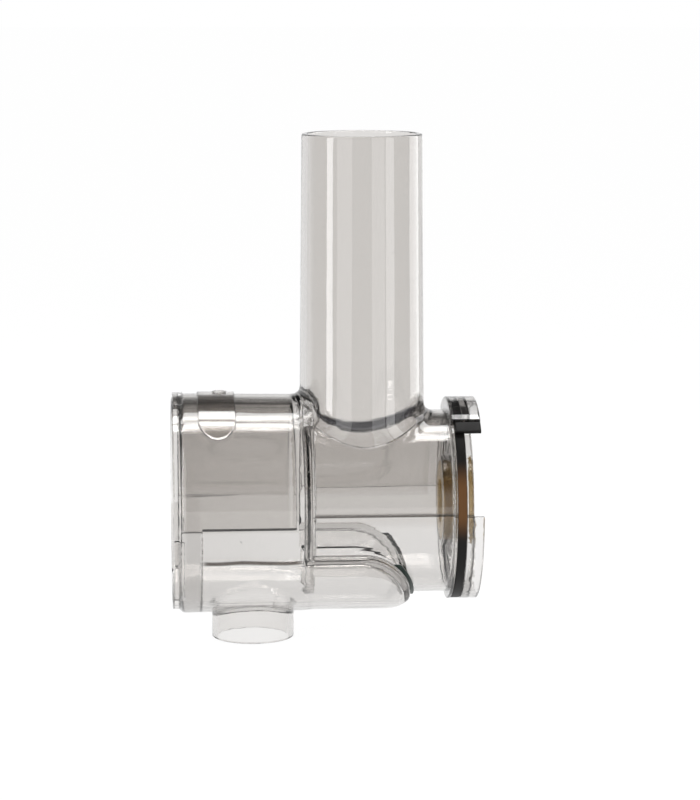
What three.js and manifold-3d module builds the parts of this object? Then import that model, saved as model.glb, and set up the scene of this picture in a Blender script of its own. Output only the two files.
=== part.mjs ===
// Clear juicing drum of a horizontal slow juicer, without its screw, strainer and end cap.
// Millimetres. X runs along the drum's axis towards the motor, Y across it and Z up.
// The origin is on the drum's axis in the rear face of the motor flange.
import * as THREE from "three";
import { mergeVertices } from "three/addons/utils/BufferGeometryUtils.js";
import Module from "manifold-3d";

const wasm = await Module();
wasm.setup();

// ---- Driving dimensions -------------------------------------------------------------------

const GAP = 0.3; // clearance between two pieces that touch
const ROUND_SIDES = 48; // sides of the large round pieces
const SMALL_ROUND_SIDES = 32; // sides of the spout, hub and bush

const chamberLength = 51.4; // strainer chamber, from its front edge to the shoulder
const chamberDraft = 0.7; // how much wider the chamber is at its front
const chamberWall = 2.3;

const lipLength = 2.5; // spigot ring that the end cap seats on
const lipStep = 1.6; // the lip is this much smaller in radius than the chamber
const lipWall = 2.6;

const frontLugCount = 3;
const frontLugAngle = 40; // degrees that one end-cap lug takes up
const frontLugLength = 4.8;
const frontLugHeight = 1.5; // above the lip

const lockPadOffset = 7.9; // from the chamber's front edge
const lockPadWidth = 15.5;
const lockPadRise = 0.8;
const lockPadAngle = 92; // degrees over the top
const lockMarkRadius = 3.2;
const lockMarkRise = 0.5;

const linerWall = 1.6; // sleeve inside the strainer chamber
const linerFrontBand = 7.2; // the part of the sleeve that goes all the way round
const linerFrontSetback = 1.6; // from the chamber's front edge
const linerRearSetback = 4.2; // from the chamber's rear end
const linerLowerEdge = -4.3; // the sleeve is open below this height

const shoulderThickness = 2.4;
const shoulderStep = 6.7; // from the pressing barrel's outside to the chamber's
const beadWidth = 4.1;
const beadRise = 1.1;
const beadLowerEnd = -17;

const barrelBehindTube = 13.6; // pressing barrel between the feed tube and its rear end
const barrelRearRadius = 38.1;
const barrelDraft = 0.4;
const barrelWall = 2.2;
const barrelLinerWall = 1.2; // half sleeve above the axis

const tubeOverShoulder = 3.6; // how far the feed tube reaches forward over the shoulder
const tubeTopRadius = 25;
const tubeFootRadius = 26.3;
const tubeWall = 2.4;
const tubeTop = 154;

const troughWall = 2.2;
const troughSetback = 21.7; // from the trough's nose to the barrel's rear end
const troughTopEdge = -16.8;
const troughBowLength = 19; // the part of the top edge that falls towards the nose
const troughNoseDrop = 36; // height of the rearmost point of the nose below the axis
const drainTop = -26; // the pressing barrel is open to the trough below this height
const drainSetback = 2.5; // from the trough's nose to the rear end of that opening
const drainLand = 1; // left in front of the opening
const troughSealWidth = 1.6;
const troughSealThickness = 1.2;
const troughSealTop = 4; // below the trough's top edge
const troughSealTail = 1; // below the nose's rearmost point

const spoutFromShoulder = 23.2; // centre of the spout in front of the shoulder wall
const spoutRadius = 17.2;
const spoutWall = 2.2;
const spoutReach = 11.8; // below the chamber

const endWallThickness = 2.6;
const hubWall = 8.1;
const hubLength = 7.5;
const hubBossWall = 2; // boss round the bush
const hubRimWidth = 1.4; // low raised rim of the hub
const hubRimRise = 1;
const bushRadius = 16.6;
const bushBore = 9.4;
const bushLength = 12.6;
const bushHeadRise = 1.8;
const bushHeadThickness = 2;
const bushStandOff = 2.2; // how far the bush's head stands behind the flange

const flangeRise = 3.1; // above the pressing barrel
const flangeFrontThickness = 1.2;
const sealWidth = 3.5;
const sealDepth = 2.6;
const flangeRearThickness = 2.7;

const motorLugHeight = 2.1;
const motorLugAngle = 62;
const motorLugRearReach = 4.3; // behind the flange
const lugStopHeight = 5.6;
const skirtLength = 4.3; // lower half ring behind the flange
const skirtWall = 2.4;

// ---- Places along the axis, worked out from the dimensions above --------------------------

const tubeFromShoulder = tubeFootRadius - tubeOverShoulder;
const barrelLength = tubeFromShoulder + tubeFootRadius + barrelBehindTube;
const troughLength = barrelLength - troughSetback;

const flangeRearFront = -flangeRearThickness;
const sealRear = flangeRearFront - GAP;
const sealFront = sealRear - sealWidth;
const flangeFrontRear = sealFront - GAP;
const flangeFront = flangeFrontRear - flangeFrontThickness;
const barrelRear = flangeRearFront - GAP;
const barrelFront = barrelRear - barrelLength;
const shoulderRear = barrelFront - GAP;
const shoulderFront = shoulderRear - shoulderThickness;
const chamberRear = shoulderFront - GAP;
const chamberFront = chamberRear - chamberLength;
const lipRear = chamberFront - GAP;
const lipFront = lipRear - lipLength;
const tubeX = shoulderRear + tubeFromShoulder;
const spoutX = shoulderRear - spoutFromShoulder;
const FAR = 400; // longer than the part, for cutting tools

// ---- Radii that follow from the dimensions above -------------------------------------------

const barrelFrontRadius = barrelRearRadius + barrelDraft;
const chamberRearRadius = barrelFrontRadius + shoulderStep;
const chamberFrontRadius = chamberRearRadius + chamberDraft;
const chamberInner = chamberRearRadius - chamberWall;
const barrelInner = barrelRearRadius - barrelWall;
const troughRadius = chamberRearRadius;
const lipRadius = chamberFrontRadius - lipStep;
const flangeRadius = barrelRearRadius + flangeRise;
const seatRadius = barrelRearRadius + GAP; // where the front flange ring sits on the barrel
const sealInner = flangeRadius - sealDepth;
const motorLugRadius = flangeRadius + GAP + motorLugHeight;
const hubBore = bushRadius + GAP;
const hubRadius = hubBore + hubWall;
const bushHeadRadius = bushRadius + bushHeadRise;
const spoutBottom = -chamberFrontRadius - spoutReach + chamberDraft;

// ---- Materials ------------------------------------------------------------------------------

function plastic(colour, roughness) {
  return new THREE.MeshStandardMaterial({ color: colour, roughness, metalness: 0 });
}

const clearSmoke = plastic(0xc9c5c1, 0.08);
const sealBlack = plastic(0x2a2624, 0.45);
const bushAmber = plastic(0xa08355, 0.3);
const gasketGreen = plastic(0x2c3a34, 0.5);

// ---- Shapes -----------------------------------------------------------------------------------

// A closed geometry as a solid with its faces pointing out.
function solid(geometry) {
  const bare = geometry.index ? geometry.toNonIndexed() : geometry.clone();
  bare.deleteAttribute("normal");
  bare.deleteAttribute("uv");
  const merged = mergeVertices(bare, 1e-4);
  const triVerts = new Uint32Array(merged.index.array);
  const corner = new THREE.Vector3();
  let volume = 0;
  for (let i = 0; i < triVerts.length; i += 3) {
    const [a, b, c] = [0, 1, 2].map((k) =>
      new THREE.Vector3().fromBufferAttribute(merged.attributes.position, triVerts[i + k]),
    );
    volume += a.dot(corner.crossVectors(b, c));
  }
  if (volume < 0) {
    triVerts.reverse();
  }
  const vertProperties = merged.attributes.position.array;
  return new wasm.Manifold(new wasm.Mesh({ numProp: 3, vertProperties, triVerts }));
}

// Outline of [radius, height] points, turned about the Z axis through [x, 0].
function turnedAboutZ(x, outline, sides) {
  const points = [...outline, outline[0]].map(([r, h]) => new THREE.Vector2(r, h));
  return solid(new THREE.LatheGeometry(points, sides).rotateX(Math.PI / 2).translate(x, 0, 0));
}

// Outline of [radius, x] points, turned about the drum's axis.
function turnedAboutX(outline, sides = ROUND_SIDES) {
  const points = [...outline, outline[0]].map(([r, x]) => new THREE.Vector2(r, x));
  return solid(new THREE.LatheGeometry(points, sides).rotateZ(-Math.PI / 2));
}

// Straight-sided ring about the drum's axis.
function ring(inner, outer, x0, x1, sides = ROUND_SIDES) {
  return turnedAboutX([[inner, x0], [outer, x0], [outer, x1], [inner, x1]], sides);
}

// Round bar about the drum's axis. Its two ends may have different radii.
function bar(radius0, radius1, x0, x1, sides = ROUND_SIDES) {
  const outline = [[0, x0], [radius0, x0], [radius1, x1], [0, x1]];
  const points = outline.map(([r, x]) => new THREE.Vector2(r, x));
  return solid(new THREE.LatheGeometry(points, sides).rotateZ(-Math.PI / 2));
}

// Round bar about a Z axis.
function post(x, radius0, radius1, z0, z1, sides) {
  const outline = [[0, z0], [radius0, z0], [radius1, z1], [0, z1]];
  const points = outline.map(([r, z]) => new THREE.Vector2(r, z));
  return solid(new THREE.LatheGeometry(points, sides).rotateX(Math.PI / 2).translate(x, 0, 0));
}

function box(x0, x1, y0, y1, z0, z1) {
  const geometry = new THREE.BoxGeometry(x1 - x0, y1 - y0, z1 - z0);
  return solid(geometry.translate((x0 + x1) / 2, (y0 + y1) / 2, (z0 + z1) / 2));
}

// An outline in the X-Z plane, pushed along Y from y0 to y1.
function acrossY(shape, y0, y1) {
  const geometry = new THREE.ExtrudeGeometry(shape, { depth: y1 - y0, bevelEnabled: false, curveSegments: 6 });
  return solid(geometry.rotateX(Math.PI / 2).translate(0, y1, 0));
}

// Part of a ring about the drum's axis. Angles in degrees from +Z towards +Y.
function ringSector(inner, outer, x0, x1, middle, span) {
  const steps = Math.max(2, Math.round(span / 7.5));
  const shape = new THREE.Shape();
  const at = (radius, k) => {
    const angle = THREE.MathUtils.degToRad(middle - span / 2 + (span * k) / steps);
    return [radius * Math.sin(angle), radius * Math.cos(angle)];
  };
  shape.moveTo(...at(outer, 0));
  for (let k = 1; k <= steps; k += 1) {
    shape.lineTo(...at(outer, k));
  }
  for (let k = steps; k >= 0; k -= 1) {
    shape.lineTo(...at(inner, k));
  }
  const geometry = new THREE.ExtrudeGeometry(shape, { depth: x1 - x0, bevelEnabled: false });
  const turn = new THREE.Matrix4().makeBasis(
    new THREE.Vector3(0, 1, 0),
    new THREE.Vector3(0, 0, 1),
    new THREE.Vector3(1, 0, 0),
  );
  return solid(geometry.applyMatrix4(turn).translate(x0, 0, 0));
}

const part = new THREE.Group();

function addPiece(name, shape, material) {
  const made = shape.getMesh();
  const geometry = new THREE.BufferGeometry();
  const count = made.numVert;
  const places = new Float32Array(count * 3);
  for (let i = 0; i < count; i += 1) {
    places.set(made.vertProperties.subarray(i * made.numProp, i * made.numProp + 3), i * 3);
  }
  geometry.setAttribute("position", new THREE.BufferAttribute(places, 3));
  geometry.setIndex(new THREE.BufferAttribute(made.triVerts, 1));
  geometry.computeVertexNormals();
  const mesh = new THREE.Mesh(geometry, material);
  mesh.name = name;
  part.add(mesh);
}

// ---- Cutting tools that several pieces share --------------------------------------------------

function tubeRadiusAt(z) {
  return tubeFootRadius + ((tubeTopRadius - tubeFootRadius) * z) / tubeTop;
}

// The feed tube's outside and bore as solid bars, larger all round by a clearance.
function tubeBar(clearance) {
  return post(tubeX, tubeRadiusAt(0) + clearance, tubeTopRadius + clearance, 0, tubeTop, ROUND_SIDES);
}

function tubeBore() {
  return post(tubeX, tubeRadiusAt(0) - tubeWall, tubeTopRadius - tubeWall, 0, tubeTop + 1, ROUND_SIDES);
}

// The chamber's outer radius at a place along the axis.
function chamberRadiusAt(x) {
  const share = (x - chamberFront) / chamberLength;
  return chamberFrontRadius + (chamberRearRadius - chamberFrontRadius) * share;
}

// The side outline of the juice trough: a flat top edge low on the barrel, a bow that falls
// away to the nose, and a round nose that turns in under the barrel. inset moves it inwards, and
// drop is how far its top edge lies below the trough's.
function troughOutline(inset, drop = inset) {
  const front = shoulderRear + GAP;
  const start = inset > 0 ? front - shoulderThickness - 2 * GAP : front;
  const top = troughTopEdge - drop;
  const noseX = front + troughLength - inset;
  const noseZ = -troughNoseDrop;
  const floor = -troughRadius - 5;
  const shape = new THREE.Shape();
  shape.moveTo(start, top);
  shape.lineTo(noseX - troughBowLength, top);
  shape.bezierCurveTo(noseX - 10.5, top, noseX - 1, noseZ + 9.5, noseX, noseZ);
  shape.bezierCurveTo(noseX + 0.3, noseZ - 3.5, noseX - 1.8, noseZ - 6.6, noseX - 6.5, noseZ - 9.5);
  shape.lineTo(noseX - 9, floor);
  shape.lineTo(start, floor);
  shape.closePath();
  return shape;
}

const troughSpace = acrossY(troughOutline(troughWall), -FAR / 2, FAR / 2).intersect(
  bar(troughRadius - troughWall, troughRadius - troughWall, -FAR, FAR),
);

// ---- Strainer chamber ---------------------------------------------------------------------------

const spoutHole = post(spoutX, spoutRadius - spoutWall, spoutRadius - spoutWall, -FAR, -chamberInner / 2, SMALL_ROUND_SIDES);

const chamberShell = turnedAboutX([
  [chamberInner, chamberFront],
  [chamberFrontRadius, chamberFront],
  [chamberRearRadius, chamberRear],
  [chamberInner, chamberRear],
])
  .subtract(spoutHole)
  .subtract(tubeBar(GAP));
addPiece("front_chamber", chamberShell, clearSmoke);

addPiece("front_lip", ring(lipRadius - lipWall, lipRadius, lipFront, lipRear), clearSmoke);

for (let k = 0; k < frontLugCount; k += 1) {
  const name = ["end_cap_lug_top", "end_cap_lug_far", "end_cap_lug_near"][k];
  const middle = (360 / frontLugCount) * k;
  const base = lipRadius + GAP;
  const start = lipFront + 0.4;
  const lug = ringSector(base, base + frontLugHeight, start, lipRear, middle, frontLugAngle);
  addPiece(name, lug, clearSmoke);
}

const padStart = chamberFront + lockPadOffset;
const padMiddle = padStart + lockPadWidth / 2;
const padBase = chamberRadiusAt(padStart) + GAP;
const padEnds = post(padMiddle, lockPadWidth / 2, lockPadWidth / 2, -1, FAR, SMALL_ROUND_SIDES);
const padReach = padBase * Math.sin(THREE.MathUtils.degToRad(lockPadAngle / 2)) - lockPadWidth / 2;
const padPlan = padEnds
  .translate([0, -padReach, 0])
  .add(padEnds.translate([0, padReach, 0]))
  .add(box(padStart, padStart + lockPadWidth, -padReach, padReach, -1, FAR));
const padShell = ring(padBase, padBase + lockPadRise, padStart - 1, padStart + lockPadWidth + 1);
addPiece("lock_pad", padShell.intersect(padPlan), clearSmoke);

const markBase = padBase + lockPadRise + GAP;
const markShell = ring(markBase, markBase + lockMarkRise, padStart, padStart + lockPadWidth);
const markPlan = post(padMiddle, lockMarkRadius, lockMarkRadius, 1, FAR, SMALL_ROUND_SIDES);
addPiece("lock_mark", markShell.intersect(markPlan), clearSmoke);

// A sleeve that is whole at its front and open below the axis over the spout.
const linerOuter = chamberInner - GAP;
const linerInner = linerOuter - linerWall;
const linerStart = chamberFront + linerFrontSetback;
const linerEnd = chamberRear - linerRearSetback;
const linerWindow = box(
  linerStart + linerFrontBand,
  FAR,
  -FAR,
  FAR,
  -FAR,
  linerLowerEdge,
);
addPiece(
  "chamber_liner",
  ring(linerInner, linerOuter, linerStart, linerEnd).subtract(linerWindow),
  clearSmoke,
);

// ---- Spout ------------------------------------------------------------------------------------

const spout = turnedAboutZ(
  spoutX,
  [
    [spoutRadius - spoutWall, spoutBottom],
    [spoutRadius, spoutBottom],
    [spoutRadius, -chamberInner / 2],
    [spoutRadius - spoutWall, -chamberInner / 2],
  ],
  SMALL_ROUND_SIDES,
).subtract(bar(chamberFrontRadius + GAP, chamberRearRadius + GAP, chamberFront, chamberRear));
addPiece("juice_spout", spout, clearSmoke);

// ---- Shoulder between the two barrels ------------------------------------------------------------

const shoulder = ring(barrelInner, chamberRearRadius, shoulderFront, shoulderRear)
  .subtract(troughSpace)
  .subtract(tubeBar(GAP));
addPiece("shoulder_wall", shoulder, clearSmoke);

// A raised bead runs down each side of the shoulder and ends in a round tip below the axis.
const beadBase = chamberRearRadius + GAP;
const beadMiddle = (shoulderFront + shoulderRear) / 2;
const beadTip = beadLowerEnd + beadWidth / 2;
const beadOutline = new THREE.Shape();
beadOutline.moveTo(beadMiddle - beadWidth / 2, FAR);
beadOutline.lineTo(beadMiddle - beadWidth / 2, beadTip);
beadOutline.absarc(beadMiddle, beadTip, beadWidth / 2, Math.PI, 2 * Math.PI, false);
beadOutline.lineTo(beadMiddle + beadWidth / 2, FAR);
beadOutline.closePath();
const beadShell = ring(beadBase, beadBase + beadRise, beadMiddle - beadWidth, beadMiddle + beadWidth);
for (const [name, side] of [["shoulder_bead_near", -1], ["shoulder_bead_far", 1]]) {
  const [y0, y1] = side < 0 ? [-FAR, -12] : [12, FAR];
  const bead = beadShell.intersect(acrossY(beadOutline, y0, y1)).subtract(tubeBar(GAP));
  addPiece(name, bead, clearSmoke);
}

// ---- Pressing barrel ---------------------------------------------------------------------------

const drainOutline = troughOutline(drainSetback, troughTopEdge - drainTop);
const drainOpening = acrossY(drainOutline, -FAR / 2, FAR / 2).intersect(
  box(barrelFront + drainLand, FAR, -FAR, FAR, -FAR, 0),
);
const barrelShell = turnedAboutX([
  [barrelInner, barrelFront],
  [barrelFrontRadius, barrelFront],
  [barrelRearRadius, barrelRear],
  [barrelInner, barrelRear],
])
  .subtract(tubeBore())
  .subtract(drainOpening);
addPiece("pressing_barrel", barrelShell, clearSmoke);

const barrelLinerOuter = barrelInner - GAP;
const barrelLinerRear = barrelRear - endWallThickness - 2 * GAP;
const barrelLiner = ring(barrelLinerOuter - barrelLinerWall, barrelLinerOuter, barrelFront, barrelLinerRear)
  .subtract(box(-FAR, FAR, -FAR, FAR, -FAR, 0))
  .subtract(tubeBore());
addPiece("barrel_liner", barrelLiner, clearSmoke);

// ---- Feed tube ------------------------------------------------------------------------------------

const tubeFoot = barrelInner / 2; // below the lowest point of the saddle
const tubeShell = tubeBar(0)
  .subtract(tubeBore())
  .subtract(box(-FAR, FAR, -FAR, FAR, -FAR, tubeFoot))
  .subtract(bar(barrelFrontRadius + GAP, barrelRearRadius + GAP, barrelFront - GAP, barrelRear))
  .subtract(bar(chamberRearRadius, chamberRearRadius, chamberFront, shoulderRear + GAP / 2));
addPiece("feed_tube", tubeShell, clearSmoke);

// ---- Juice trough -----------------------------------------------------------------------------------

const troughOuter = acrossY(troughOutline(0), -FAR / 2, FAR / 2).intersect(
  bar(troughRadius, troughRadius, barrelFront, flangeFront),
);
const trough = troughOuter
  .subtract(troughSpace)
  .subtract(bar(barrelFrontRadius + GAP, barrelFrontRadius + GAP, -FAR, FAR));
addPiece("juice_trough", trough, clearSmoke);

// A thin rubber strip closes the joint between the trough's bowed edge and the pressing barrel.
const stripBase = barrelFrontRadius + GAP;
const stripShell = ring(stripBase, stripBase + troughSealThickness, barrelFront, flangeFront);
const stripOutline = troughOutline(-troughSealWidth - GAP);
const stripBand = acrossY(stripOutline, -FAR / 2, FAR / 2).subtract(
  acrossY(troughOutline(-GAP), -FAR, FAR),
);
for (const [name, y0, y1] of [["trough_strip_near", -FAR, 0], ["trough_strip_far", 0, FAR]]) {
  const [low, high] = [-troughNoseDrop - troughSealTail, troughTopEdge - troughSealTop];
  const reach = box(barrelFront + troughLength / 2, FAR, y0, y1, low, high);
  addPiece(name, stripShell.intersect(stripBand).intersect(reach), gasketGreen);
}

// ---- End wall, hub and bush --------------------------------------------------------------------------

const wallRear = barrelRear;
const wallFront = wallRear - endWallThickness;
const hubFront = wallRear - hubLength;
const endWall = ring(hubRadius + GAP, barrelInner - GAP, wallFront, wallRear);
addPiece("end_wall", endWall, clearSmoke);
const hubOutline = [
  [hubBore, hubFront],
  [hubBore + hubBossWall, hubFront],
  [hubBore + hubBossWall, wallFront],
  [hubRadius - hubRimWidth, wallFront],
  [hubRadius - hubRimWidth, wallFront - hubRimRise],
  [hubRadius, wallFront - hubRimRise],
  [hubRadius, wallRear],
  [hubBore, wallRear],
];
addPiece("shaft_hub", turnedAboutX(hubOutline, SMALL_ROUND_SIDES), clearSmoke);

const headFront = bushStandOff - bushHeadThickness;
const bush = turnedAboutX(
  [
    [bushBore, bushStandOff - bushLength],
    [bushRadius, bushStandOff - bushLength],
    [bushRadius, headFront],
    [bushHeadRadius, headFront],
    [bushHeadRadius, bushStandOff],
    [bushBore, bushStandOff],
  ],
  SMALL_ROUND_SIDES,
);
addPiece("shaft_bush", bush, bushAmber);

// ---- Motor flange --------------------------------------------------------------------------------------

addPiece("flange_front_ring", ring(seatRadius, flangeRadius, flangeFront, flangeFrontRear), clearSmoke);
addPiece("flange_seal", ring(sealInner, flangeRadius, sealFront, sealRear), sealBlack);
addPiece("flange_rear_ring", ring(barrelInner, flangeRadius, flangeRearFront, 0), clearSmoke);

const motorLug = ringSector(
  flangeRadius + GAP,
  motorLugRadius,
  flangeFront,
  motorLugRearReach,
  0,
  motorLugAngle,
);
addPiece("motor_lug", motorLug, clearSmoke);

const stopSpan = THREE.MathUtils.radToDeg(lugStopHeight / flangeRadius);
for (const [name, side] of [["lug_stop_near", -1], ["lug_stop_far", 1]]) {
  const middle = side * (motorLugAngle / 2 + stopSpan / 2 + 0.5);
  const stop = ringSector(
    flangeRadius + GAP,
    motorLugRadius - 0.6,
    sealFront,
    motorLugRearReach,
    middle,
    stopSpan,
  );
  addPiece(name, stop, sealBlack);
}

const skirt = ring(flangeRadius - skirtWall, flangeRadius, GAP, GAP + skirtLength).subtract(
  box(-1, FAR, -FAR, FAR, 0, FAR),
);
addPiece("motor_skirt", skirt, clearSmoke);

export default part;
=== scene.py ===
# Clear juicing drum of a horizontal slow juicer, built up piece by piece around its frame.
import math

import bpy
import numpy as np
import openvdb
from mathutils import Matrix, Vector


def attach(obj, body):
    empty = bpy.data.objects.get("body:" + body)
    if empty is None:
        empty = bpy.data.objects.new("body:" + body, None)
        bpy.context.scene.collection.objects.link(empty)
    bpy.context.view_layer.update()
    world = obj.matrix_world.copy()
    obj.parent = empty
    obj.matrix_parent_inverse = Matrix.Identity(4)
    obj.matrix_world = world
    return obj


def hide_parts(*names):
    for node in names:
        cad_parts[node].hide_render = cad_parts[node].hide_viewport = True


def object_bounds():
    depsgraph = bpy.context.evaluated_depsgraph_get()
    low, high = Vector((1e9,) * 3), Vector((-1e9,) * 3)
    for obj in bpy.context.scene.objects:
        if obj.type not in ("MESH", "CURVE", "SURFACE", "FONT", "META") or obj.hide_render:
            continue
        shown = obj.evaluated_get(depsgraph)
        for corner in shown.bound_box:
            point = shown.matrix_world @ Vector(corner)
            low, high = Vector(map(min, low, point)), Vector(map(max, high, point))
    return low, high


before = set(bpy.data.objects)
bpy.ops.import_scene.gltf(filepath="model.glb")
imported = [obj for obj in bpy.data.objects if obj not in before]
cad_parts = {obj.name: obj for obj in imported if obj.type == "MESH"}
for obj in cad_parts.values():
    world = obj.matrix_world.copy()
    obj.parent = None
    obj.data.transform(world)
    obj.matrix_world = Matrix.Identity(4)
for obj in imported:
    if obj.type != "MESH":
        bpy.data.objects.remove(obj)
cad_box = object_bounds()

# ---- Camera --------------------------------------------------------------------------------
# A long lens a little above the drum and a little towards its open end, so that the barrels lie
# level and the tube stands upright.

camera_data = bpy.data.cameras.new("camera")
camera_data.lens = 137.4
camera_data.clip_end = 20
camera = bpy.data.objects.new("camera", camera_data)
bpy.context.collection.objects.link(camera)
camera.location = (-0.1342, -1.26, 0.2245)
look_at = Vector((-0.0481, 0.0, 0.0428))
camera.rotation_euler = (look_at - camera.location).to_track_quat("-Z", "Y").to_euler()
bpy.context.scene.camera = camera

# ---- Studio ----------------------------------------------------------------------------------
# A white room: a pale floor under the spout, a white surround that is dim overhead and in front,
# and tall soft boxes round the drum, which draw the bright stripes on its tube.

scene = bpy.context.scene
scene.view_settings.view_transform = "Standard"
scene.cycles.max_bounces = 40
scene.cycles.transmission_bounces = 40
scene.cycles.glossy_bounces = 8
scene.cycles.transparent_max_bounces = 16


def linear(code):
    """The linear colour of an sRGB hex code."""
    parts = [int(code[i : i + 2], 16) / 255 for i in (0, 2, 4)]
    return [c / 12.92 if c <= 0.04045 else ((c + 0.055) / 1.055) ** 2.4 for c in parts] + [1.0]


def add_node(tree, kind, settings=None, **links):
    """Adds a node. settings are its own properties; links give a socket a value or a source."""
    node = tree.nodes.new(kind)
    for key, value in (settings or {}).items():
        setattr(node, key, value)
    for key, value in links.items():
        socket = node.inputs[int(key[1:])] if key[1:].isdigit() else node.inputs[key.replace("_", " ")]
        if isinstance(value, bpy.types.NodeSocket):
            tree.links.new(value, socket)
        else:
            socket.default_value = value
    return node


# The surround is white all round the horizon, dim overhead and dim on the camera's side.
world = bpy.data.worlds.new("studio surround")
world.use_nodes = True
scene.world = world
tree = world.node_tree
tree.nodes.clear()
place = add_node(tree, "ShaderNodeTexCoord")
axes = add_node(tree, "ShaderNodeSeparateXYZ", i0=place.outputs["Generated"])
smooth = {"interpolation_type": "SMOOTHSTEP"}
overhead = add_node(tree, "ShaderNodeMapRange", smooth, i0=axes.outputs[2], i1=0.25, i2=0.5, i3=1.0, i4=0.07)
behind = add_node(tree, "ShaderNodeMapRange", smooth, i0=axes.outputs[1], i1=-0.95, i2=-0.5, i3=0.5, i4=1.0)
level = add_node(
    tree, "ShaderNodeMath", {"operation": "MULTIPLY"}, i0=overhead.outputs[0], i1=behind.outputs[0]
)
surround = add_node(tree, "ShaderNodeBackground", Color=linear("ffffff"), Strength=level.outputs[0])
add_node(tree, "ShaderNodeOutputWorld", Surface=surround.outputs[0])

SPOUT_RIM = cad_box[0][2]
UNDER_SPOUT = 0.0005
FLOOR_RADIUS = 12.0
FLOOR_SIDES = 72
turns = [k * 2 * math.pi / FLOOR_SIDES for k in range(FLOOR_SIDES)]
rim = [
    (FLOOR_RADIUS * math.cos(turn), FLOOR_RADIUS * math.sin(turn), SPOUT_RIM - UNDER_SPOUT)
    for turn in turns
]
floor_mesh = bpy.data.meshes.new("floor")
floor_mesh.from_pydata(rim, [], [tuple(range(FLOOR_SIDES))])
floor = bpy.data.objects.new("floor", floor_mesh)
bpy.context.collection.objects.link(floor)
# Matt paper, lit so evenly that it hides its own far edge and shows only a faint shadow.
paper = bpy.data.materials.new("matt white paper")
paper.use_nodes = True
tree = paper.node_tree
tree.nodes.clear()
glow = add_node(tree, "ShaderNodeEmission", Color=linear("ffffff"), Strength=0.985)
matt = add_node(tree, "ShaderNodeBsdfDiffuse", Color=linear("3c3c3c"))
both = add_node(tree, "ShaderNodeAddShader", i0=glow.outputs[0], i1=matt.outputs[0])
add_node(tree, "ShaderNodeOutputMaterial", Surface=both.outputs[0])
floor_mesh.materials.append(paper)


DRUM_MIDDLE = -0.05
DRUM_HEIGHT = 0.04


def soft_box(name, place, width, height, level, seen_through=False):
    """A box lamp that faces the drum, with level as its brightness."""
    light = bpy.data.lights.new(name, "AREA")
    light.shape = "RECTANGLE"
    light.size, light.size_y = width, height
    light.energy = level * math.pi * width * height
    lamp = bpy.data.objects.new(name, light)
    bpy.context.collection.objects.link(lamp)
    lamp.location = place
    upright = abs(place[0]) + abs(place[1]) > place[2]
    aim = Vector((DRUM_MIDDLE - place[0], -place[1], 0 if upright else DRUM_HEIGHT - place[2]))
    lamp.rotation_euler = aim.to_track_quat("-Z", "Y").to_euler()
    lamp.visible_camera = False
    lamp.visible_transmission = seen_through


# The upright boxes stand on the floor round the drum; turn is in degrees right of the camera.
BOX_HEIGHT = 0.76
BOX_MIDDLE = 0.33
for name, turn, away, width, level in [
    ("left strip box", -65, 0.58, 0.13, 7.0),
    ("left wide box", -36, 0.58, 0.30, 1.7),
    ("right strip box", 50, 0.58, 0.17, 3.2),
    ("right wide box", 27, 0.58, 0.24, 1.7),
    ("right rear box", 112, 0.60, 0.34, 2.8),
]:
    turn = math.radians(turn)
    place = (DRUM_MIDDLE + away * math.sin(turn), -away * math.cos(turn), BOX_MIDDLE)
    soft_box(name, place, width, BOX_HEIGHT, level)
soft_box("overhead box", (DRUM_MIDDLE, 0.105, 0.894), 0.8, 0.12, 9.0, True)
soft_box("rear overhead box", (DRUM_MIDDLE, 0.293, 0.784), 0.8, 0.18, 6.0, True)

# ---- Clear mouldings ------------------------------------------------------------------------
# The drum is one clear copolyester moulding with 2.3 mm walls: every wall meets the next in a
# small fillet. It is drawn here from distance fields, which give those fillets, in millimetres.

CHAMBER_FRONT, CHAMBER_REAR = -119.9, -68.3
CHAMBER_RADIUS, CHAMBER_DRAFT, CHAMBER_BORE = 45.9, 0.7, 42.9
LIP_FRONT, LIP_RADIUS = -122.8, 44.3
BAND_FRONT, BAND_REAR, BAND_BORE = -118.3, -111.1, 41.0
SLEEVE_EDGE = -4.3
SHOULDER_REAR = -65.9
BARREL_RADIUS, BARREL_DRAFT, BARREL_REAR, BARREL_BORE = 38.5, 0.4, -3.0, 35.9
END_WALL_FRONT = -5.6
TUBE_X, TUBE_TOP, TUBE_FOOT_RADIUS, TUBE_TOP_RADIUS, TUBE_WALL = -43.2, 154.0, 26.3, 25.0, 2.4
TUBE_FILLET = 4.5
SPOUT_X, SPOUT_BOTTOM, SPOUT_RADIUS, SPOUT_WALL, SPOUT_FILLET = -89.1, -57.0, 17.2, 2.2, 2.2
TROUGH_RADIUS, TROUGH_TOP, TROUGH_NOSE, TROUGH_NOSE_HEIGHT = 45.2, -16.8, -24.7, -36.0
TROUGH_BOW, TROUGH_WALL = 19.0, 2.2
ROUNDNESS = 1.8  # of the trough's bow: 2 would be an ellipse
NOSE_TUCK = 0.085  # how fast the nose curls back under itself
DRAIN_TOP, DRAIN_FRONT, DRAIN_SETBACK = -26, -64.6, 2.5
HUB_FRONT, HUB_RADIUS, BOSS_RADIUS, SHAFT_SEAT = -10.5, 25.0, 18.9, 16.9
RIM_FRONT, RIM_WIDTH = -6.6, 1.4
FLANGE_RADIUS, SKIRT_REAR, SKIRT_BORE = 41.2, 4.3, 38.8
LUG_RADIUS, LUG_HALF_ANGLE = 43.6, 31


def both_of(a, b, blend=0.4):
    """Where two solids overlap, with the edge between them rounded by blend."""
    h = np.maximum(blend - np.abs(a - b), 0) / blend
    return np.maximum(a, b) + h * h * blend / 4


def either_of(a, b, blend=1.5):
    """Two solids joined, with a fillet of about blend."""
    return -both_of(-a, -b, blend)


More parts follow.
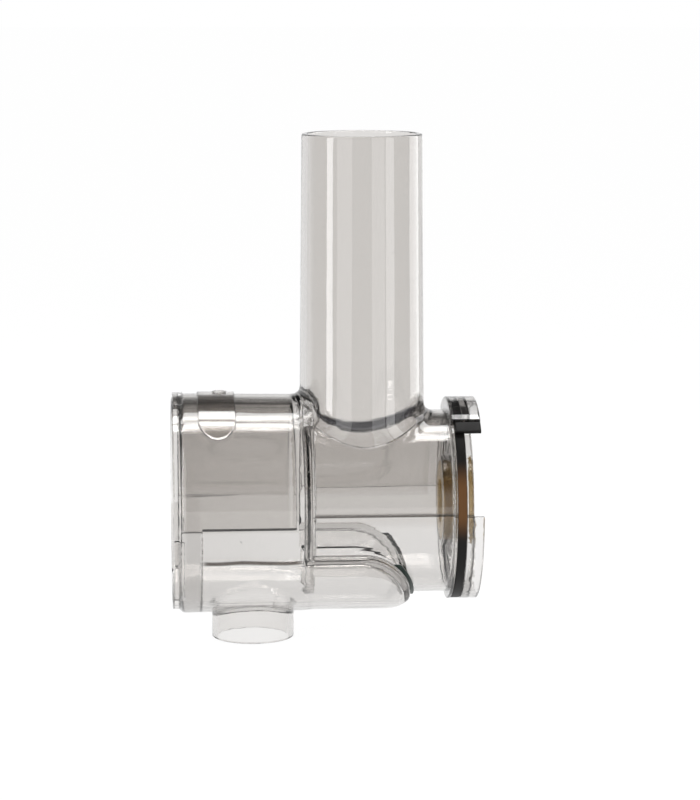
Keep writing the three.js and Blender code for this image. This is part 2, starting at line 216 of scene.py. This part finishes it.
def without(a, b, blend=0.4):
    """The first solid with the second cut away."""
    return both_of(a, -b, blend)


def bar_x(x, r, radius, x0, x1, blend=0.4):
    """A round bar along the axis, from x0 to x1."""
    return both_of(r - radius, np.maximum(x0 - x, x - x1), blend)


def chamber_radius(x):
    return CHAMBER_RADIUS - CHAMBER_DRAFT * (x - CHAMBER_FRONT) / (CHAMBER_REAR - CHAMBER_FRONT)


def tube_radius(z, wall=0.0):
    return TUBE_FOOT_RADIUS - wall + (TUBE_TOP_RADIUS - TUBE_FOOT_RADIUS) * z / TUBE_TOP


def outside_shape(x, y, z, r):
    """The drum as if it were solid."""
    chamber = bar_x(x, r, chamber_radius(x), CHAMBER_FRONT, SHOULDER_REAR, 3.0)
    lip = bar_x(x, r, LIP_RADIUS, LIP_FRONT, CHAMBER_FRONT + 5, 0.6)
    barrel_r = BARREL_RADIUS - BARREL_DRAFT * (x - SHOULDER_REAR) / (BARREL_REAR - SHOULDER_REAR)
    barrel = bar_x(x, r, barrel_r, -80, 0, 0.4)
    shape = either_of(either_of(chamber, lip, 0.3), barrel, 2.0)
    tube = both_of(np.hypot(x - TUBE_X, y) - tube_radius(z), np.maximum(-z, z - TUBE_TOP), 0.8)
    shape = either_of(shape, tube, TUBE_FILLET)
    spout_r = np.hypot(x - SPOUT_X, y)
    spout = both_of(spout_r - SPOUT_RADIUS, np.maximum(z + 20, SPOUT_BOTTOM - z), 0.8)
    return either_of(shape, spout, SPOUT_FILLET)


def trough_shape(x, z, r, radius, top, nose_x, blend):
    """A slice of the chamber's round whose rear end is bowed: flat top, falling bow, round nose."""
    nose_z = TROUGH_NOSE_HEIGHT
    u = np.maximum(x - (nose_x - TROUGH_BOW), 0) / TROUGH_BOW
    v = np.maximum(z - nose_z, 0) / (top - nose_z)
    bow = ((u**ROUNDNESS + v**ROUNDNESS) ** (1 / ROUNDNESS) - 1) * TROUGH_BOW
    under = x - nose_x + NOSE_TUCK * np.minimum(z - nose_z, 0) ** 2
    side = np.where(z < nose_z, under, np.where(x < nose_x - TROUGH_BOW, z - top, bow))
    return both_of(both_of(r - radius, side, blend), -80 - x, 0.5)


def trough_outline(x, z, r, drop, setback, blend):
    """The trough's side view, right through the drum, drop lower and setback shorter."""
    return trough_shape(x, z, 0 * r, 1, TROUGH_TOP - drop, TROUGH_NOSE - setback, blend)


def inside_shape(x, y, z, r):
    """All the hollows of the drum, joined."""
    chamber = bar_x(x, r, CHAMBER_BORE, -140, CHAMBER_REAR, 2.0)
    bore = bar_x(x, r, BARREL_BORE, -80, END_WALL_FRONT, 2.0)
    shape = either_of(chamber, bore, 0.5)
    tube = both_of(np.hypot(x - TUBE_X, y) - tube_radius(z, TUBE_WALL), -z, 0.4)
    shape = either_of(shape, tube, TUBE_FILLET)
    spout_r = np.hypot(x - SPOUT_X, y)
    spout = both_of(spout_r - (SPOUT_RADIUS - SPOUT_WALL), z + 20, 0.4)
    shape = either_of(shape, spout, SPOUT_FILLET)
    rear = bar_x(x, r, BARREL_BORE, BARREL_REAR, 30, 0.6)
    shaft = bar_x(x, r, SHAFT_SEAT, -60, 30, 0.4)
    return np.minimum(np.minimum(shape, rear), shaft)


def hub_shape(x, r):
    """The boss round the shaft bush, with a low rim round the hub."""
    boss = bar_x(x, r, BOSS_RADIUS, HUB_FRONT, -3.5, 0.4)
    rim = both_of(bar_x(x, r, HUB_RADIUS, RIM_FRONT, -3.5, 0.4), HUB_RADIUS - RIM_WIDTH - r, 0.4)
    return without(either_of(boss, rim, 0.1), r - SHAFT_SEAT, 0.4)


def with_flange(shape, x, y, z, r):
    """Adds the flange's two rings, its skirt below the axis and its bayonet lug on top."""
    front_ring = both_of(bar_x(x, r, FLANGE_RADIUS, -8.0, -6.7, 0.4), 37.0 - r, 0.2)
    rear_ring = both_of(bar_x(x, r, FLANGE_RADIUS, -2.8, 0.0, 0.5), BARREL_BORE - r, 0.5)
    skirt = both_of(bar_x(x, r, FLANGE_RADIUS, -1.0, SKIRT_REAR, 0.5), SKIRT_BORE - r, 0.4)
    skirt = both_of(skirt, z, 0.4)
    shape = either_of(either_of(either_of(shape, front_ring, 0.4), rear_ring, 0.4), skirt, 0.3)
    angle = np.abs(np.arctan2(y, z))
    lug = both_of(bar_x(x, r, LUG_RADIUS, -8.0, SKIRT_REAR, 0.8), 41.0 - r, 0.2)
    lug = both_of(lug, (angle - math.radians(LUG_HALF_ANGLE)) * r, 0.5)
    return either_of(shape, lug, 0.2)


def drum_shape(x, y, z):
    r = np.hypot(y, z)
    trough = trough_shape(x, z, r, TROUGH_RADIUS, TROUGH_TOP, TROUGH_NOSE, 3.0)
    solid = either_of(outside_shape(x, y, z, r), trough, 1.2)
    shape = without(solid, inside_shape(x, y, z, r), 0.7)
    band = bar_x(x, r, 43.4, BAND_FRONT, BAND_REAR, 0.4)
    band = both_of(both_of(band, BAND_BORE - r, 0.4), z - SLEEVE_EDGE + 0.3, 0.4)
    shape = np.minimum(shape, band)
    hollow_top, hollow_nose = TROUGH_TOP - TROUGH_WALL, TROUGH_NOSE - TROUGH_WALL
    hollow = trough_shape(x, z, r, TROUGH_RADIUS - TROUGH_WALL, hollow_top, hollow_nose, 2.0)
    shape = without(shape, without(hollow, r - 38.4, 0.8), 0.7)
    drain = trough_outline(x, z, r, TROUGH_TOP - DRAIN_TOP, DRAIN_SETBACK, 0.3)
    drain = np.maximum(drain, DRAIN_FRONT - x)
    shape = without(shape, np.maximum(drain, r - 40), 0.5)
    return with_flange(either_of(shape, hub_shape(x, r), 0.5), x, y, z, r)


def moulded(name, shape, low, high, step, adapt=0.02):
    """A mesh of a distance field in a box, in metres, with the field's own normals."""
    axes = [np.arange(low[i] - 2 * step, high[i] + 3 * step, step, dtype=np.float32) for i in range(3)]
    x, y, z = axes[0][:, None, None], axes[1][None, :, None], axes[2][None, None, :]
    field = np.clip(shape(x, y, z), -3 * step, 3 * step).astype(np.float32)
    grid = openvdb.FloatGrid(3 * step)
    grid.copyFromArray(field)
    grid.transform = openvdb.createLinearTransform(voxelSize=step)
    points, triangles, quads = grid.convertToPolygons(0.0, adapt)
    points = points.astype(np.float64) + [a[0] for a in axes]

    def slope(p):
        e = 0.02
        parts = []
        for i in range(3):
            move = np.zeros(3)
            move[i] = e
            ahead, behind = (p + move).T, (p - move).T
            parts.append((shape(*ahead) - shape(*behind)) / (2 * e))
        return np.stack(parts, axis=1)

    for _ in range(3):
        g = slope(points)
        size = np.maximum((g * g).sum(axis=1), 0.25)
        away = np.clip(shape(*points.T), -0.5 * step, 0.5 * step)
        points = points - g * (away / size)[:, None]
    faces = triangles.tolist() + quads.tolist()
    mesh = bpy.data.meshes.new(name)
    mesh.from_pydata((points / 1000).tolist(), [], faces)
    mesh.validate()
    mesh.update()
    mesh.shade_smooth()
    normals = slope(points)
    normals /= np.maximum(np.linalg.norm(normals, axis=1), 1e-6)[:, None]
    if len(mesh.vertices) == len(normals):
        mesh.normals_split_custom_set_from_vertices(normals.tolist())
    made = bpy.data.objects.new(name, mesh)
    bpy.context.collection.objects.link(made)
    return made


STEP = 0.52
FINE = 0.3

drum = moulded("drum_moulding", drum_shape, (LIP_FRONT, -46, SPOUT_BOTTOM), (SKIRT_REAR, 46, TUBE_TOP), STEP)


def within(tree, value, low, high, soft):
    """1 where a value lies between low and high, falling to 0 over soft beyond them."""
    off = add_node(tree, "ShaderNodeMath", {"operation": "SUBTRACT"}, i0=value, i1=(low + high) / 2)
    off = add_node(tree, "ShaderNodeMath", {"operation": "ABSOLUTE"}, i0=off.outputs[0])
    half = (high - low) / 2
    step = {"interpolation_type": "SMOOTHSTEP"}
    return add_node(
        tree, "ShaderNodeMapRange", step, i0=off.outputs[0], i1=half, i2=half + soft, i3=1.0, i4=0.0
    ).outputs[0]


def product(tree, first, *others):
    for other in others:
        first = add_node(tree, "ShaderNodeMath", {"operation": "MULTIPLY"}, i0=first, i1=other).outputs[0]
    return first


def blend_colour(tree, share, first, second):
    """first where share is 0 and second where it is 1. Each is a colour or a socket."""
    return add_node(tree, "ShaderNodeMix", {"data_type": "RGBA"}, i0=share, i6=first, i7=second).outputs[2]


def distance(tree, a, b):
    """The length of the vector (a, b)."""
    square = [product(tree, v, v) for v in (a, b)]
    total = add_node(tree, "ShaderNodeMath", {"operation": "ADD"}, i0=square[0], i1=square[1])
    return add_node(tree, "ShaderNodeMath", {"operation": "SQRT"}, i0=total.outputs[0]).outputs[0]


def offset(tree, value, by):
    return add_node(tree, "ShaderNodeMath", {"operation": "ADD"}, i0=value, i1=by).outputs[0]


def clear_plastic(name, body_colour, depth_colour, density, shaded):
    """Moulded copolyester, polished in the mould: a hard, sharp gloss over a faint smoke tint.

    Flow lines run along the drum about 4 mm apart, and up the tube about 5 mm apart.
    """
    material = bpy.data.materials.new(name)
    material.use_nodes = True
    tree = material.node_tree
    tree.nodes.clear()
    place = add_node(tree, "ShaderNodeTexCoord").outputs["Object"]
    x, y, z = add_node(tree, "ShaderNodeSeparateXYZ", i0=place).outputs
    in_tube = add_node(tree, "ShaderNodeMath", {"operation": "GREATER_THAN"}, i0=z, i1=TUBE_LINES_FROM)
    along_drum = add_node(tree, "ShaderNodeMapping", i0=place, Scale=(12, 260, 260)).outputs[0]
    up_tube = add_node(tree, "ShaderNodeMapping", i0=place, Scale=(200, 200, 9)).outputs[0]
    flow = add_node(
        tree, "ShaderNodeMix", {"data_type": "VECTOR"}, i0=in_tube.outputs[0], i4=along_drum, i5=up_tube
    ).outputs[1]
    lines = add_node(tree, "ShaderNodeTexNoise", Vector=flow, Scale=1.0, Detail=2.0, Roughness=0.45)
    ripple = add_node(tree, "ShaderNodeBump", Height=lines.outputs[0], Strength=0.1, Distance=0.0006)
    body = add_node(
        tree,
        "ShaderNodeBsdfPrincipled",
        Base_Color=shaded(tree, linear(body_colour), x, y, z),
        Roughness=0.02,
        IOR=1.5,
        Transmission_Weight=1.0,
        Normal=ripple.outputs[0],
    )
    depth = add_node(tree, "ShaderNodeVolumeAbsorption", Color=linear(depth_colour), Density=density)
    add_node(tree, "ShaderNodeOutputMaterial", Surface=body.outputs[0], Volume=depth.outputs[0])
    return material


# The shades below are placed in metres.
TUBE_LINES_FROM = 0.047
# Painted shade: the spans of chamber and barrel whose upper walls are left darker than the rest.
SHADED_CHAMBER_SPAN = (-0.1175, -0.0725)
SHADED_BARREL_SPAN = (-0.0645, -0.0125)
FAR_ABOVE = 0.3
SHADE_SLOPE = 0.186  # the chamber's painted shade starts lower on its far side
SHADE_EDGE = -0.0126
# Where the painted dark band round the tube's root lies.
ROOT_RADIUS, ROOT_AXIS_RADIUS, ROOT_WIDTH = 0.0260, 0.0380, 0.0019
# The height of the painted dark ledge line low in the chamber.
LEDGE_SHADE_HEIGHT = (-0.0172, -0.0165)


def painted_wall_shade(tree, body, x, y, z):
    """Painted shade: the long upper walls keep the darker body colour, and the ends and the lower half are
    painted paler, for how light falls through the drum.
    """
    above_axis = within(tree, z, -0.002, FAR_ABOVE, 0.004)
    slanted = add_node(
        tree, "ShaderNodeMath", {"operation": "MULTIPLY_ADD"}, i0=y, i1=SHADE_SLOPE, i2=z
    ).outputs[0]
    above_edge = within(tree, slanted, SHADE_EDGE, FAR_ABOVE, 0.0008)
    chamber_wall = product(tree, within(tree, x, *SHADED_CHAMBER_SPAN, 0.001), above_edge)
    barrel_wall = product(tree, within(tree, x, *SHADED_BARREL_SPAN, 0.001), above_axis)
    shade = blend_colour(tree, chamber_wall, linear("fbfaf9"), body)
    return blend_colour(tree, barrel_wall, shade, body)


def parting_line_shade(tree, x, y, z):
    """A dark line painted along the mould's parting line, on the near side of the barrel at axis height: the
    seam is real, its darkness is painted shade for how the seam refracts.
    """
    return product(
        tree,
        within(tree, z, -0.0002, 0.0002, 0.0002),
        within(tree, x, -0.0655, 0.0, 0.0005),
        within(tree, y, -0.05, -0.035, 0.0004),
    )


def tube_root_shade(tree, x, y, z):
    """Painted shade: a dark band round the thick root of the tube on its far side, where the root refracts
    dark.
    """
    from_tube = offset(tree, distance(tree, offset(tree, x, -TUBE_X / 1000), y), -ROOT_RADIUS)
    from_axis = offset(tree, distance(tree, y, z), -ROOT_AXIS_RADIUS)
    return product(
        tree,
        within(tree, distance(tree, from_tube, from_axis), -ROOT_WIDTH, ROOT_WIDTH, 0.0006),
        within(tree, y, 0.002, 0.05, 0.008),
        within(tree, z, 0.02, 0.06, 0.001),
    )


def low_ledge_shade(tree, x, y, z):
    """Painted shade: a slightly wavy dark line low inside the chamber's near wall, at the trough's height, in
    place of the shade of a ledge that is not modelled.
    """
    waves = add_node(tree, "ShaderNodeTexNoise", {"noise_dimensions": "1D"}, W=x, Scale=45.0, Detail=1.0)
    waved = add_node(
        tree, "ShaderNodeMath", {"operation": "MULTIPLY_ADD"}, i0=waves.outputs[0], i1=0.0018, i2=z
    )
    return product(
        tree,
        within(tree, waved.outputs[0], *LEDGE_SHADE_HEIGHT, 0.0009),
        within(tree, x, -0.1085, -0.0725, 0.004),
        within(tree, y, -0.05, -0.02, 0.001),
    )


# Painted shade: the drum's paler ends and lower half, with dark painted lines at the parting line, the tube's
# root and a low ledge.
def drum_painted_shades(tree, body, x, y, z):
    shade = painted_wall_shade(tree, body, x, y, z)
    shade = blend_colour(tree, parting_line_shade(tree, x, y, z), shade, linear("4c4642"))
    shade = blend_colour(tree, tube_root_shade(tree, x, y, z), shade, linear("28282f"))
    return blend_colour(tree, low_ledge_shade(tree, x, y, z), shade, linear("6e6762"))


# The drum's clear finish, with the painted shades above in its colour.
clear = clear_plastic("polished clear copolyester, smoke tint and painted shade", "efedeb", "9c9792", 80.0, drum_painted_shades)
drum.data.materials.append(clear)
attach(drum, "drum")
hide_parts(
    "front_chamber",
    "front_lip",
    "juice_spout",
    "shoulder_wall",
    "pressing_barrel",
    "feed_tube",
    "juice_trough",
    "end_wall",
    "shaft_hub",
    "flange_front_ring",
    "flange_rear_ring",
    "motor_lug",
    "motor_skirt",
)

# ---- Lock pad, lock mark and shoulder beads ------------------------------------------------------
# A low stadium-shaped pad lies over the top of the chamber, with a plain ring as its lock mark. A
# round-ended bead runs down each side of the shoulder.


def pad_shape(x, y, z):
    r = np.hypot(y, z)
    plan = np.hypot(x + 104.3, np.maximum(np.abs(y) - 25.5, 0)) - 7.75
    rise = both_of(r - chamber_radius(x) - 0.85, chamber_radius(x) + 0.03 - r, 0.1)
    return both_of(both_of(rise, plan, 0.3), -z, 0.1)


def mark_shape(x, y, z):
    r = np.hypot(y, z)
    rise = both_of(r - 47.2, chamber_radius(x) + 0.9 - r, 0.1)
    return both_of(both_of(rise, np.abs(np.hypot(x + 102.8, y) - 2.4) - 0.6, 0.2), -z, 0.1)


def bead_shape(side):
    def shape(x, y, z):
        r = np.hypot(y, z)
        plan = np.hypot(x + 67.1, np.minimum(z + 15.0, 0)) - 2.05
        rise = both_of(r - 46.5, 45.28 - r, 0.1)
        clear_of_tube = tube_radius(z) + 0.6 - np.hypot(x - TUBE_X, y)
        return both_of(both_of(both_of(rise, plan, 0.5), 12 - side * y, 0.1), clear_of_tube, 0.2)

    return shape


for name, shape, low, high, node in [
    ("lock_pad_moulded", pad_shape, (-112.5, -34, 30), (-96, 34, 47), "lock_pad"),
    ("lock_mark_ring", mark_shape, (-106, -4, 45), (-99.5, 4, 47.3), "lock_mark"),
    ("near_bead", bead_shape(-1), (-69.3, -46.6, -17.2), (-65, -11, 45), "shoulder_bead_near"),
    ("far_bead", bead_shape(1), (-69.3, 11, -17.2), (-65, 46.6, 45), "shoulder_bead_far"),
]:
    piece = moulded(name, shape, low, high, FINE)
    piece.data.materials.append(clear)
    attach(piece, "drum")
    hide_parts(node)

# ---- Sleeves ---------------------------------------------------------------------------------
# A clear sleeve lines the chamber down to just below the axis, and a second one lines the pressing
# barrel above it. At the chamber's front the drum's own wall carries the ring on round the bottom.


def chamber_sleeve_shape(x, y, z):
    r = np.hypot(y, z)
    ring = both_of(bar_x(x, r, 42.6, BAND_FRONT, -72.6, 0.8), BAND_BORE - r, 1.2)
    return both_of(ring, SLEEVE_EDGE - z, 0.6)


def barrel_sleeve_shape(x, y, z):
    r = np.hypot(y, z)
    half = both_of(both_of(bar_x(x, r, 35.6, -65.6, -6.4, 0.4), 34.4 - r, 0.4), -z, 1.2)
    return without(half, np.hypot(x - TUBE_X, y) - tube_radius(z, TUBE_WALL), 0.3)


chamber_sleeve = moulded("chamber_sleeve", chamber_sleeve_shape, (BAND_FRONT, -43, -5), (-72, 43, 43), FINE)
barrel_sleeve = moulded("barrel_sleeve", barrel_sleeve_shape, (-65.6, -36, 0), (-6, 36, 36), FINE)


def sleeve_edge_shade(tree, body, x, y, z):
    """Painted shade: the chamber sleeve's lower edge is painted near black on the near side, for how the cut
    edge refracts.
    """
    edge = product(
        tree,
        within(tree, z, -0.0046, -0.0034, 0.0002),
        within(tree, x, -0.1108, -0.07, 0.0004),
        within(tree, y, -0.05, -0.005, 0.001),
    )
    return blend_colour(tree, edge, body, linear("0c0a09"))


# The same copolyester, thinner and paler, so that the drum's own tint shows through it.
sleeve_clear = clear_plastic(
    "polished clear copolyester, faint tint", "f8f7f6", "9c9792", 50.0, sleeve_edge_shade
)
for piece, node in [(chamber_sleeve, "chamber_liner"), (barrel_sleeve, "barrel_liner")]:
    piece.data.materials.append(sleeve_clear)
    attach(piece, "drum")
    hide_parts(node)

# ---- End-cap lugs ------------------------------------------------------------------------------
# Three clear bayonet lugs stand on the lip, a third of a turn apart. One lug is drawn, and a node
# tree turns its copies round the drum's axis.


def lug_shape(x, y, z):
    r = np.hypot(y, z)
    base = np.where(x > -120.0, 45.95, 44.35)
    lug = both_of(bar_x(x, r, 46.4, -122.4, -118.0, 0.4), base - r, 0.2)
    return both_of(lug, (np.abs(np.arctan2(y, z)) - math.radians(20)) * r, 0.5)


one_lug = moulded("one_lug", lug_shape, (-122.4, -17, 40), (-117.8, 17, 47), FINE)
tree = bpy.data.node_groups.new("copies round the axis", "GeometryNodeTree")
for name, kind in [
    ("Lug", "NodeSocketGeometry"),
    ("Copies", "NodeSocketInt"),
    ("Turn", "NodeSocketFloat"),
    ("Finish", "NodeSocketMaterial"),
]:
    tree.interface.new_socket(name, in_out="INPUT", socket_type=kind)
tree.interface.new_socket("Lugs", in_out="OUTPUT", socket_type="NodeSocketGeometry")
given = add_node(tree, "NodeGroupInput").outputs
points = add_node(tree, "GeometryNodePoints", Count=given["Copies"])
number = add_node(tree, "GeometryNodeInputIndex")
turned = product(tree, number.outputs[0], given["Turn"])
way = add_node(tree, "ShaderNodeCombineXYZ", X=turned)
copies = add_node(
    tree,
    "GeometryNodeInstanceOnPoints",
    Points=points.outputs[0],
    Instance=given["Lug"],
    Rotation=way.outputs[0],
)
solid = add_node(tree, "GeometryNodeRealizeInstances", Geometry=copies.outputs[0])
finished = add_node(tree, "GeometryNodeSetMaterial", Geometry=solid.outputs[0], Material=given["Finish"])
add_node(tree, "NodeGroupOutput", Lugs=finished.outputs[0])

modifier = one_lug.modifiers.new("copies", "NODES")
modifier.node_group = tree
for name, value in [("Copies", 3), ("Turn", math.radians(120)), ("Finish", clear)]:
    modifier[tree.interface.items_tree[name].identifier] = value
bpy.context.view_layer.update()
turned_lugs = one_lug.evaluated_get(bpy.context.evaluated_depsgraph_get())
lugs = bpy.data.objects.new("end_cap_lugs_moulded", bpy.data.meshes.new_from_object(turned_lugs))
bpy.context.collection.objects.link(lugs)
bpy.data.objects.remove(one_lug)
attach(lugs, "drum")
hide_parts("end_cap_lug_top", "end_cap_lug_far", "end_cap_lug_near")

# ---- Black seal band and stops -----------------------------------------------------------------
# A soft black silicone band fills the groove of the flange, with a stop block under each end of
# the bayonet lug.


def seal_shape(x, y, z):
    r = np.hypot(y, z)
    return both_of(bar_x(x, r, 41.0, -6.6, -2.9, 0.4), 38.65 - r, 0.3)


def stop_shape(side):
    def shape(x, y, z):
        r = np.hypot(y, z)
        angle = side * np.arctan2(y, z)
        block = both_of(bar_x(x, r, 42.9, -6.4, 4.2, 0.4), 41.35 - r, 0.2)
        return both_of(block, np.maximum(math.radians(31.6) - angle, angle - math.radians(39.2)) * r, 0.3)

    return shape


seal = moulded("seal_band", seal_shape, (-6.6, -41, -41), (-2.9, 41, 41), FINE)
near_stop = moulded("near_stop", stop_shape(-1), (-6.4, -30, 28), (4.3, -18, 40), FINE)
far_stop = moulded("far_stop", stop_shape(1), (-6.4, 18, 28), (4.3, 30, 40), FINE)

# Moulded silicone: a soft satin black with a little dust in it, and no sharp highlight.
silicone = bpy.data.materials.new("moulded black silicone, satin")
silicone.use_nodes = True
tree = silicone.node_tree
tree.nodes.clear()
place = add_node(tree, "ShaderNodeTexCoord")
dust = add_node(tree, "ShaderNodeTexNoise", Vector=place.outputs["Object"], Scale=180.0, Detail=4.0)
z = add_node(tree, "ShaderNodeSeparateXYZ", i0=place.outputs["Object"]).outputs[2]
shade = blend_colour(tree, dust.outputs[0], linear("050404"), linear("0e0b0a"))
# painted reflection: beside the bush the black band is painted amber brown, in place of the bush's colour
# seen in it
shade = blend_colour(tree, within(tree, z, 0.001, 0.011, 0.012), shade, linear("56381a"))
pitting = add_node(tree, "ShaderNodeBump", Height=dust.outputs[0], Strength=0.08, Distance=0.0002)
body = add_node(
    tree,
    "ShaderNodeBsdfPrincipled",
    Base_Color=shade,
    Roughness=0.5,
    Specular_IOR_Level=0.2,
    Normal=pitting.outputs[0],
)
add_node(tree, "ShaderNodeOutputMaterial", Surface=body.outputs[0])
for piece, node in [(seal, "flange_seal"), (near_stop, "lug_stop_near"), (far_stop, "lug_stop_far")]:
    piece.data.materials.append(silicone)
    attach(piece, "drum")
    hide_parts(node)

# ---- Trough gasket strips ------------------------------------------------------------------------
# A thin dark green rubber strip lies in the joint along each side of the trough's bowed edge. It
# follows that edge down to the height of the nose.

STRIP_OUTSIDE, STRIP_INSIDE = 1.9, 0.3  # from the trough's own edge


def strip_shape(side):
    def shape(x, y, z):
        r = np.hypot(y, z)
        outer = trough_outline(x, z, r, -STRIP_OUTSIDE, -STRIP_OUTSIDE, 0.1)
        inner = trough_outline(x, z, r, -STRIP_INSIDE, -STRIP_INSIDE, 0.1)
        band = np.maximum(outer, -inner)
        reach = np.maximum(np.maximum(z + 20.8, -37 - z), 5 - side * y)
        return both_of(np.maximum(band, reach), np.maximum(r - 40.0, 38.75 - r), 0.2)

    return shape


near_strip = moulded("near_gasket", strip_shape(-1), (-45, -37, -38), (-19, -5, -20), FINE)
far_strip = moulded("far_gasket", strip_shape(1), (-45, 5, -38), (-19, 37, -20), FINE)
# Moulded rubber: near-black green, with a fine grain and worn patches that shine a little more.
gasket = bpy.data.materials.new("dark green gasket rubber")
gasket.use_nodes = True
tree = gasket.node_tree
tree.nodes.clear()
place = add_node(tree, "ShaderNodeTexCoord").outputs["Object"]
grain = add_node(tree, "ShaderNodeTexNoise", Vector=place, Scale=900.0, Detail=3.0)
wear = add_node(tree, "ShaderNodeTexNoise", Vector=place, Scale=140.0, Detail=2.0)
skin = add_node(tree, "ShaderNodeBump", Height=grain.outputs[0], Strength=0.25, Distance=0.0001)
polish = add_node(tree, "ShaderNodeMapRange", i0=wear.outputs[0], i1=0.3, i2=0.7, i3=0.3, i4=0.5)
body = add_node(
    tree,
    "ShaderNodeBsdfPrincipled",
    Base_Color=blend_colour(tree, wear.outputs[0], linear("141d19"), linear("2f3f38")),
    Roughness=polish.outputs[0],
    Normal=skin.outputs[0],
)
add_node(tree, "ShaderNodeOutputMaterial", Surface=body.outputs[0])
for piece, node in [(near_strip, "trough_strip_near"), (far_strip, "trough_strip_far")]:
    piece.data.materials.append(gasket)
    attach(piece, "drum")
    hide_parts(node)

# ---- Shaft bush ----------------------------------------------------------------------------------
# An amber polyetherimide bush, injection moulded and pressed into the hub from behind. The drive
# shaft turns in its bore.


def bush_shape(x, y, z):
    r = np.hypot(y, z)
    shank = bar_x(x, r, 16.6, -10.4, 1.0, 0.6)
    head = bar_x(x, r, 18.4, 0.2, 2.2, 0.6)
    groove = both_of(np.abs(x + 4.5) - 0.6, 15.9 - r, 0.3)
    return without(without(either_of(shank, head, 0.5), groove, 0.3), r - 9.4, 0.6)


bush = moulded("amber_bush", bush_shape, (-10.4, -18.4, -18.4), (2.2, 18.4, 18.4), FINE)
# Polyetherimide lets light through: a warm gold with faint swirls and fine turning marks.
amber = bpy.data.materials.new("moulded amber polyetherimide")
amber.use_nodes = True
tree = amber.node_tree
tree.nodes.clear()
place = add_node(tree, "ShaderNodeTexCoord").outputs["Object"]
swirls = add_node(tree, "ShaderNodeTexNoise", Vector=place, Scale=110.0, Detail=3.0, Distortion=1.2)
x, y, z = add_node(tree, "ShaderNodeSeparateXYZ", i0=place).outputs
across = add_node(tree, "ShaderNodeCombineXYZ", X=x, Y=distance(tree, y, z))
turning = add_node(
    tree, "ShaderNodeTexNoise", {"noise_dimensions": "2D"}, Vector=across.outputs[0], Scale=2600.0, Detail=1.0
)
rings = add_node(tree, "ShaderNodeBump", Height=turning.outputs[0], Strength=0.2, Distance=0.00006)
body = add_node(
    tree,
    "ShaderNodeBsdfPrincipled",
    Base_Color=blend_colour(tree, swirls.outputs[0], linear("d0ac66"), linear("f2deac")),
    Roughness=0.25,
    IOR=1.65,
    Transmission_Weight=0.75,
    Normal=rings.outputs[0],
)
add_node(tree, "ShaderNodeOutputMaterial", Surface=body.outputs[0])
bush.data.materials.append(amber)
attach(bush, "bush")
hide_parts("shaft_bush")
